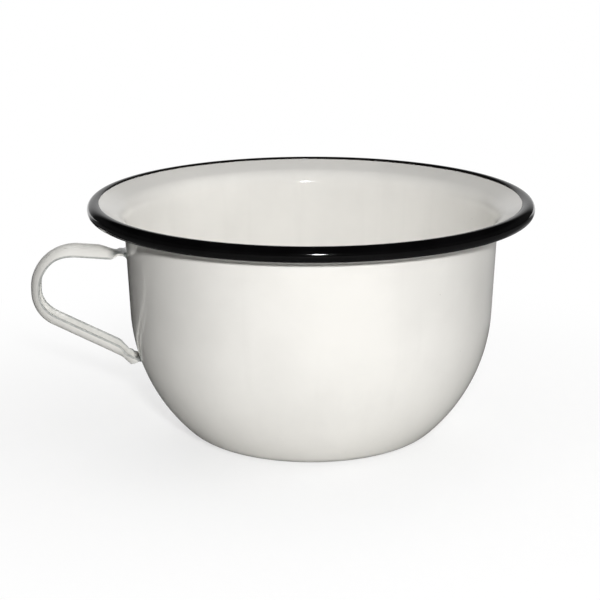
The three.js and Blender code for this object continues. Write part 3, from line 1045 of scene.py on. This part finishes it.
class CHAMBERPOT_OT_stage(bpy.types.Operator):
    """Sets up the table, the flags, the lights, the room and the camera"""

    bl_idname = "chamber_pot.stage"
    bl_label = "Studio Stage"

    def execute(self, context):
        settings = context.scene.chamber_pot
        self.table(settings.colours)
        self.flags(settings.colours)
        self.lights(settings.stage)
        self.glint(settings.stage)
        self.room(context.scene, settings.stage)
        self.camera(context.scene, settings.stage)
        context.scene.view_settings.view_transform = "Standard"
        return {"FINISHED"}

    def table(self, colours):
        """A white table. Far from the pot it is as white as the room behind it.

        Its light on the pot fades with the distance, and reflections see it white only behind the pot.
        """
        material, tree = new_material("table_white")
        place = node(tree, "ShaderNodeTexCoord", {}).outputs["Object"]
        parts = node(tree, "ShaderNodeSeparateXYZ", {0: place}).outputs
        distance = node(tree, "ShaderNodeVectorMath", {0: place}, operation="LENGTH").outputs["Value"]
        rays = node(tree, "ShaderNodeLightPath", {}).outputs
        seen = maths(tree, "MAXIMUM", rays["Is Camera Ray"], rays["Is Transmission Ray"])
        straight_back = maths(tree, "SUBTRACT", parts["Y"], maths(tree, "ABSOLUTE", parts["X"]))
        behind = mapped(tree, straight_back, *MIRRORED_WHITE_FROM, 0.0, 1.0)
        mirrored = maths(tree, "MULTIPLY", rays["Is Glossy Ray"], behind)
        whiteness = mapped(tree, distance, *TABLE_WHITE_FROM, TABLE_NEAR_WHITE, 1.0)
        bright = maths(tree, "MULTIPLY", maths(tree, "MAXIMUM", seen, mirrored), whiteness)

        far = mapped(tree, distance, *BOUNCE_FADE, 0.0, 1.0)
        bounced = mixed(tree, far, shaded(NEAR_BOUNCE), shaded(FAR_BOUNCE))
        in_gloss = mixed(tree, rays["Is Glossy Ray"], bounced, shaded(MIRRORED_TABLE))
        tone = mixed(tree, seen, in_gloss, shaded(colours.table))
        grains = noised(tree, place, TABLE_GRAIN_SCALE)
        grain = node(tree, "ShaderNodeBump", {"Strength": TABLE_GRAIN, "Height": grains})
        matt = node(tree, "ShaderNodeBsdfDiffuse", {"Color": tone, "Normal": grain.outputs[0]})
        white = node(tree, "ShaderNodeEmission", {"Strength": 1.0})
        shares = {0: bright, 1: matt.outputs[0], 2: white.outputs[0]}
        put_on(tree, node(tree, "ShaderNodeMixShader", shares))
        corners = rectangle(TABLE_HALF, TABLE_HALF, TABLE_LEVEL)
        table = mesh_object("table", corners, [(0, 1, 2, 3)], material)

    def flags(self, colours):
        """Dark cards that draw the pot's edges in reflections. Angles go from the front by the left."""
        for name, start, end, shade in FLAGS:
            points = []
            for i in range(FLAG_STEPS + 1):
                around = math.radians(lerp(start, end, i / FLAG_STEPS))
                x = -FLAG_RADIUS * math.sin(around)
                y = -FLAG_RADIUS * math.cos(around)
                points += [(x, y, height) for height in FLAG_HEIGHTS]
            mirrored_card(name, points, grid_faces(FLAG_STEPS + 1, 2), shaded(colours.flag, shade), 1.0)

    def lights(self, stage):
        """Key in front, a wide lamp overhead, and fills from the right and from behind.

        Reflections see none of them.
        """
        for lamp in (
            Lamp("key", stage.key_power, around=3.5, up=20, distance=0.85, width=0.08, height=0.04),
            Lamp("top", stage.top_power, around=0, up=88, distance=1.2, width=1.0, height=1.0),
            Lamp("side", stage.side_power, around=90, up=18, distance=1.0, width=0.5, height=0.5),
            Lamp("back", stage.back_power, around=178, up=12, distance=1.2, width=1.2, height=0.5),
        ):
            clear(lamp.name)
            data = bpy.data.lights.new(lamp.name, "AREA")
            data.shape = "RECTANGLE"
            data.size = lamp.width
            data.size_y = lamp.height
            data.energy = lamp.power
            made = bpy.data.objects.new(lamp.name, data)
            made.visible_glossy = False
            bpy.context.scene.collection.objects.link(made)
            set_round(made, stage, math.radians(lamp.around), math.radians(lamp.up), lamp.distance)

    def glint(self, stage):
        """A small bright card in the key's place, which gives the highlights."""
        corners = rectangle(GLINT_HALF_WIDTH, GLINT_HALF_HEIGHT, 0)
        card = mirrored_card("glint", corners, [(0, 1, 2, 3)], (1, 1, 1, 1), stage.glint_strength)
        key = bpy.data.objects["key"]
        card.location = key.location
        card.rotation_euler = key.rotation_euler

    def room(self, scene, stage):
        """White where the camera looks, dim as light. Reflections see white only behind the pot."""
        world = bpy.data.worlds.new("studio_room")
        scene.world = world
        world.use_nodes = True
        tree = world.node_tree
        tree.nodes.clear()
        way = node(tree, "ShaderNodeTexCoord", {}).outputs["Generated"]
        parts = node(tree, "ShaderNodeSeparateXYZ", {0: way}).outputs
        behind = mapped(tree, parts["Y"], *BACKDROP_EDGE, *BACKDROP_SHADES)
        low = mapped(tree, parts["Z"], *BACKDROP_TOP, 1.0, BACKDROP_OVER)
        backdrop = maths(tree, "MULTIPLY", behind, low)
        rays = node(tree, "ShaderNodeLightPath", {}).outputs
        seen = maths(tree, "MAXIMUM", rays["Is Camera Ray"], rays["Is Transmission Ray"])
        by_ray = {0: rays["Is Glossy Ray"], 2: stage.ambient, 3: backdrop}
        lit = node(tree, "ShaderNodeMix", by_ray, data_type="FLOAT").outputs[0]
        strength = maths(tree, "MAXIMUM", seen, lit)
        background = node(tree, "ShaderNodeBackground", {"Color": (1, 1, 1, 1), "Strength": strength})
        node(tree, "ShaderNodeOutputWorld", {"Surface": background.outputs[0]})

    def camera(self, scene, stage):
        """The photograph's view."""
        clear("camera")
        data = bpy.data.cameras.new("camera")
        data.lens = stage.lens
        data.sensor_width = SENSOR_WIDTH
        data.shift_x = (PHOTO_PIXELS / 2 - TARGET_PIXEL.real) / PHOTO_PIXELS
        data.shift_y = (TARGET_PIXEL.imag - PHOTO_PIXELS / 2) / PHOTO_PIXELS
        made = bpy.data.objects.new("camera", data)
        scene.collection.objects.link(made)
        set_round(made, stage, 0, stage.elevation, stage.distance)
        scene.camera = made


class CHAMBERPOT_PT_sidebar(bpy.types.Panel):
    """Lists the pot's settings and the steps that build it"""

    bl_idname = "CHAMBERPOT_PT_sidebar"
    bl_label = "Chamber Pot"
    bl_space_type = "VIEW_3D"
    bl_region_type = "UI"
    bl_category = "Chamber Pot"

    def draw(self, context):
        settings = context.scene.chamber_pot
        for title, group in (
            ("Body", settings.body),
            ("Edging", settings.edging),
            ("Handle", settings.handle),
            ("Colours", settings.colours),
            ("Stage", settings.stage),
        ):
            box = self.layout.box()
            box.label(text=title)
            for name in group.bl_rna.properties.keys():
                if name not in {"rna_type", "name"}:
                    box.prop(group, name)
        for operator in OPERATORS:
            self.layout.operator(operator.bl_idname)


GROUPS = (
    ChamberPotBodySizes,
    ChamberPotEdgingSizes,
    ChamberPotHandleSizes,
    ChamberPotColours,
    ChamberPotStageSettings,
    ChamberPotSettings,
)
OPERATORS = (
    CHAMBERPOT_OT_body,
    CHAMBERPOT_OT_edging,
    CHAMBERPOT_OT_handle,
    CHAMBERPOT_OT_welds,
    CHAMBERPOT_OT_stage,
)
CLASSES = (*GROUPS, *OPERATORS, CHAMBERPOT_PT_sidebar)


def register():
    for cls in CLASSES:
        bpy.utils.register_class(cls)
    bpy.types.Scene.chamber_pot = PointerProperty(type=ChamberPotSettings)


def unregister():
    del bpy.types.Scene.chamber_pot
    for cls in reversed(CLASSES):
        bpy.utils.unregister_class(cls)


def main():
    register()
    bpy.ops.chamber_pot.body()
    bpy.ops.chamber_pot.edging()
    bpy.ops.chamber_pot.handle()
    bpy.ops.chamber_pot.welds()
    bpy.ops.chamber_pot.stage()


if __name__ == "__main__":
    main()
